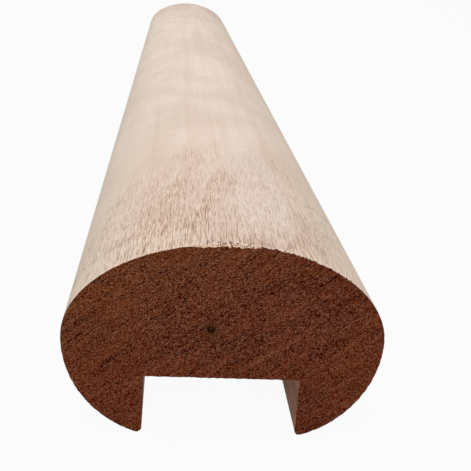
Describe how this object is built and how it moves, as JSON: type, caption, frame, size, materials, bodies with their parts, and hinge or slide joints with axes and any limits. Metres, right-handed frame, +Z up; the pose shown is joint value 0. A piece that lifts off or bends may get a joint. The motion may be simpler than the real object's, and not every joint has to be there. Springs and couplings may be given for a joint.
{
  "type": "stair handrail length",
  "caption": "Straight hardwood stair handrail with an oval grip section and a square groove along its underside for baluster heads or a core bar.",
  "frame": {"origin": "midway along the rail, under the middle of the groove, on the plane that the two lips rest on", "axes": "+Y along the grain from the near sawn end to the far one, +Z up through the crown, +X across the grip"},
  "size_m": [0.065, 0.6, 0.042],
  "materials": {
    "handrail_timber": "sanded bare hardwood, pale pinkish long grain, dark red-brown sawn end grain"
  },
  "bodies": {
    "root": {"handrail": "handrail_timber"}
  },
  "joints": []
}
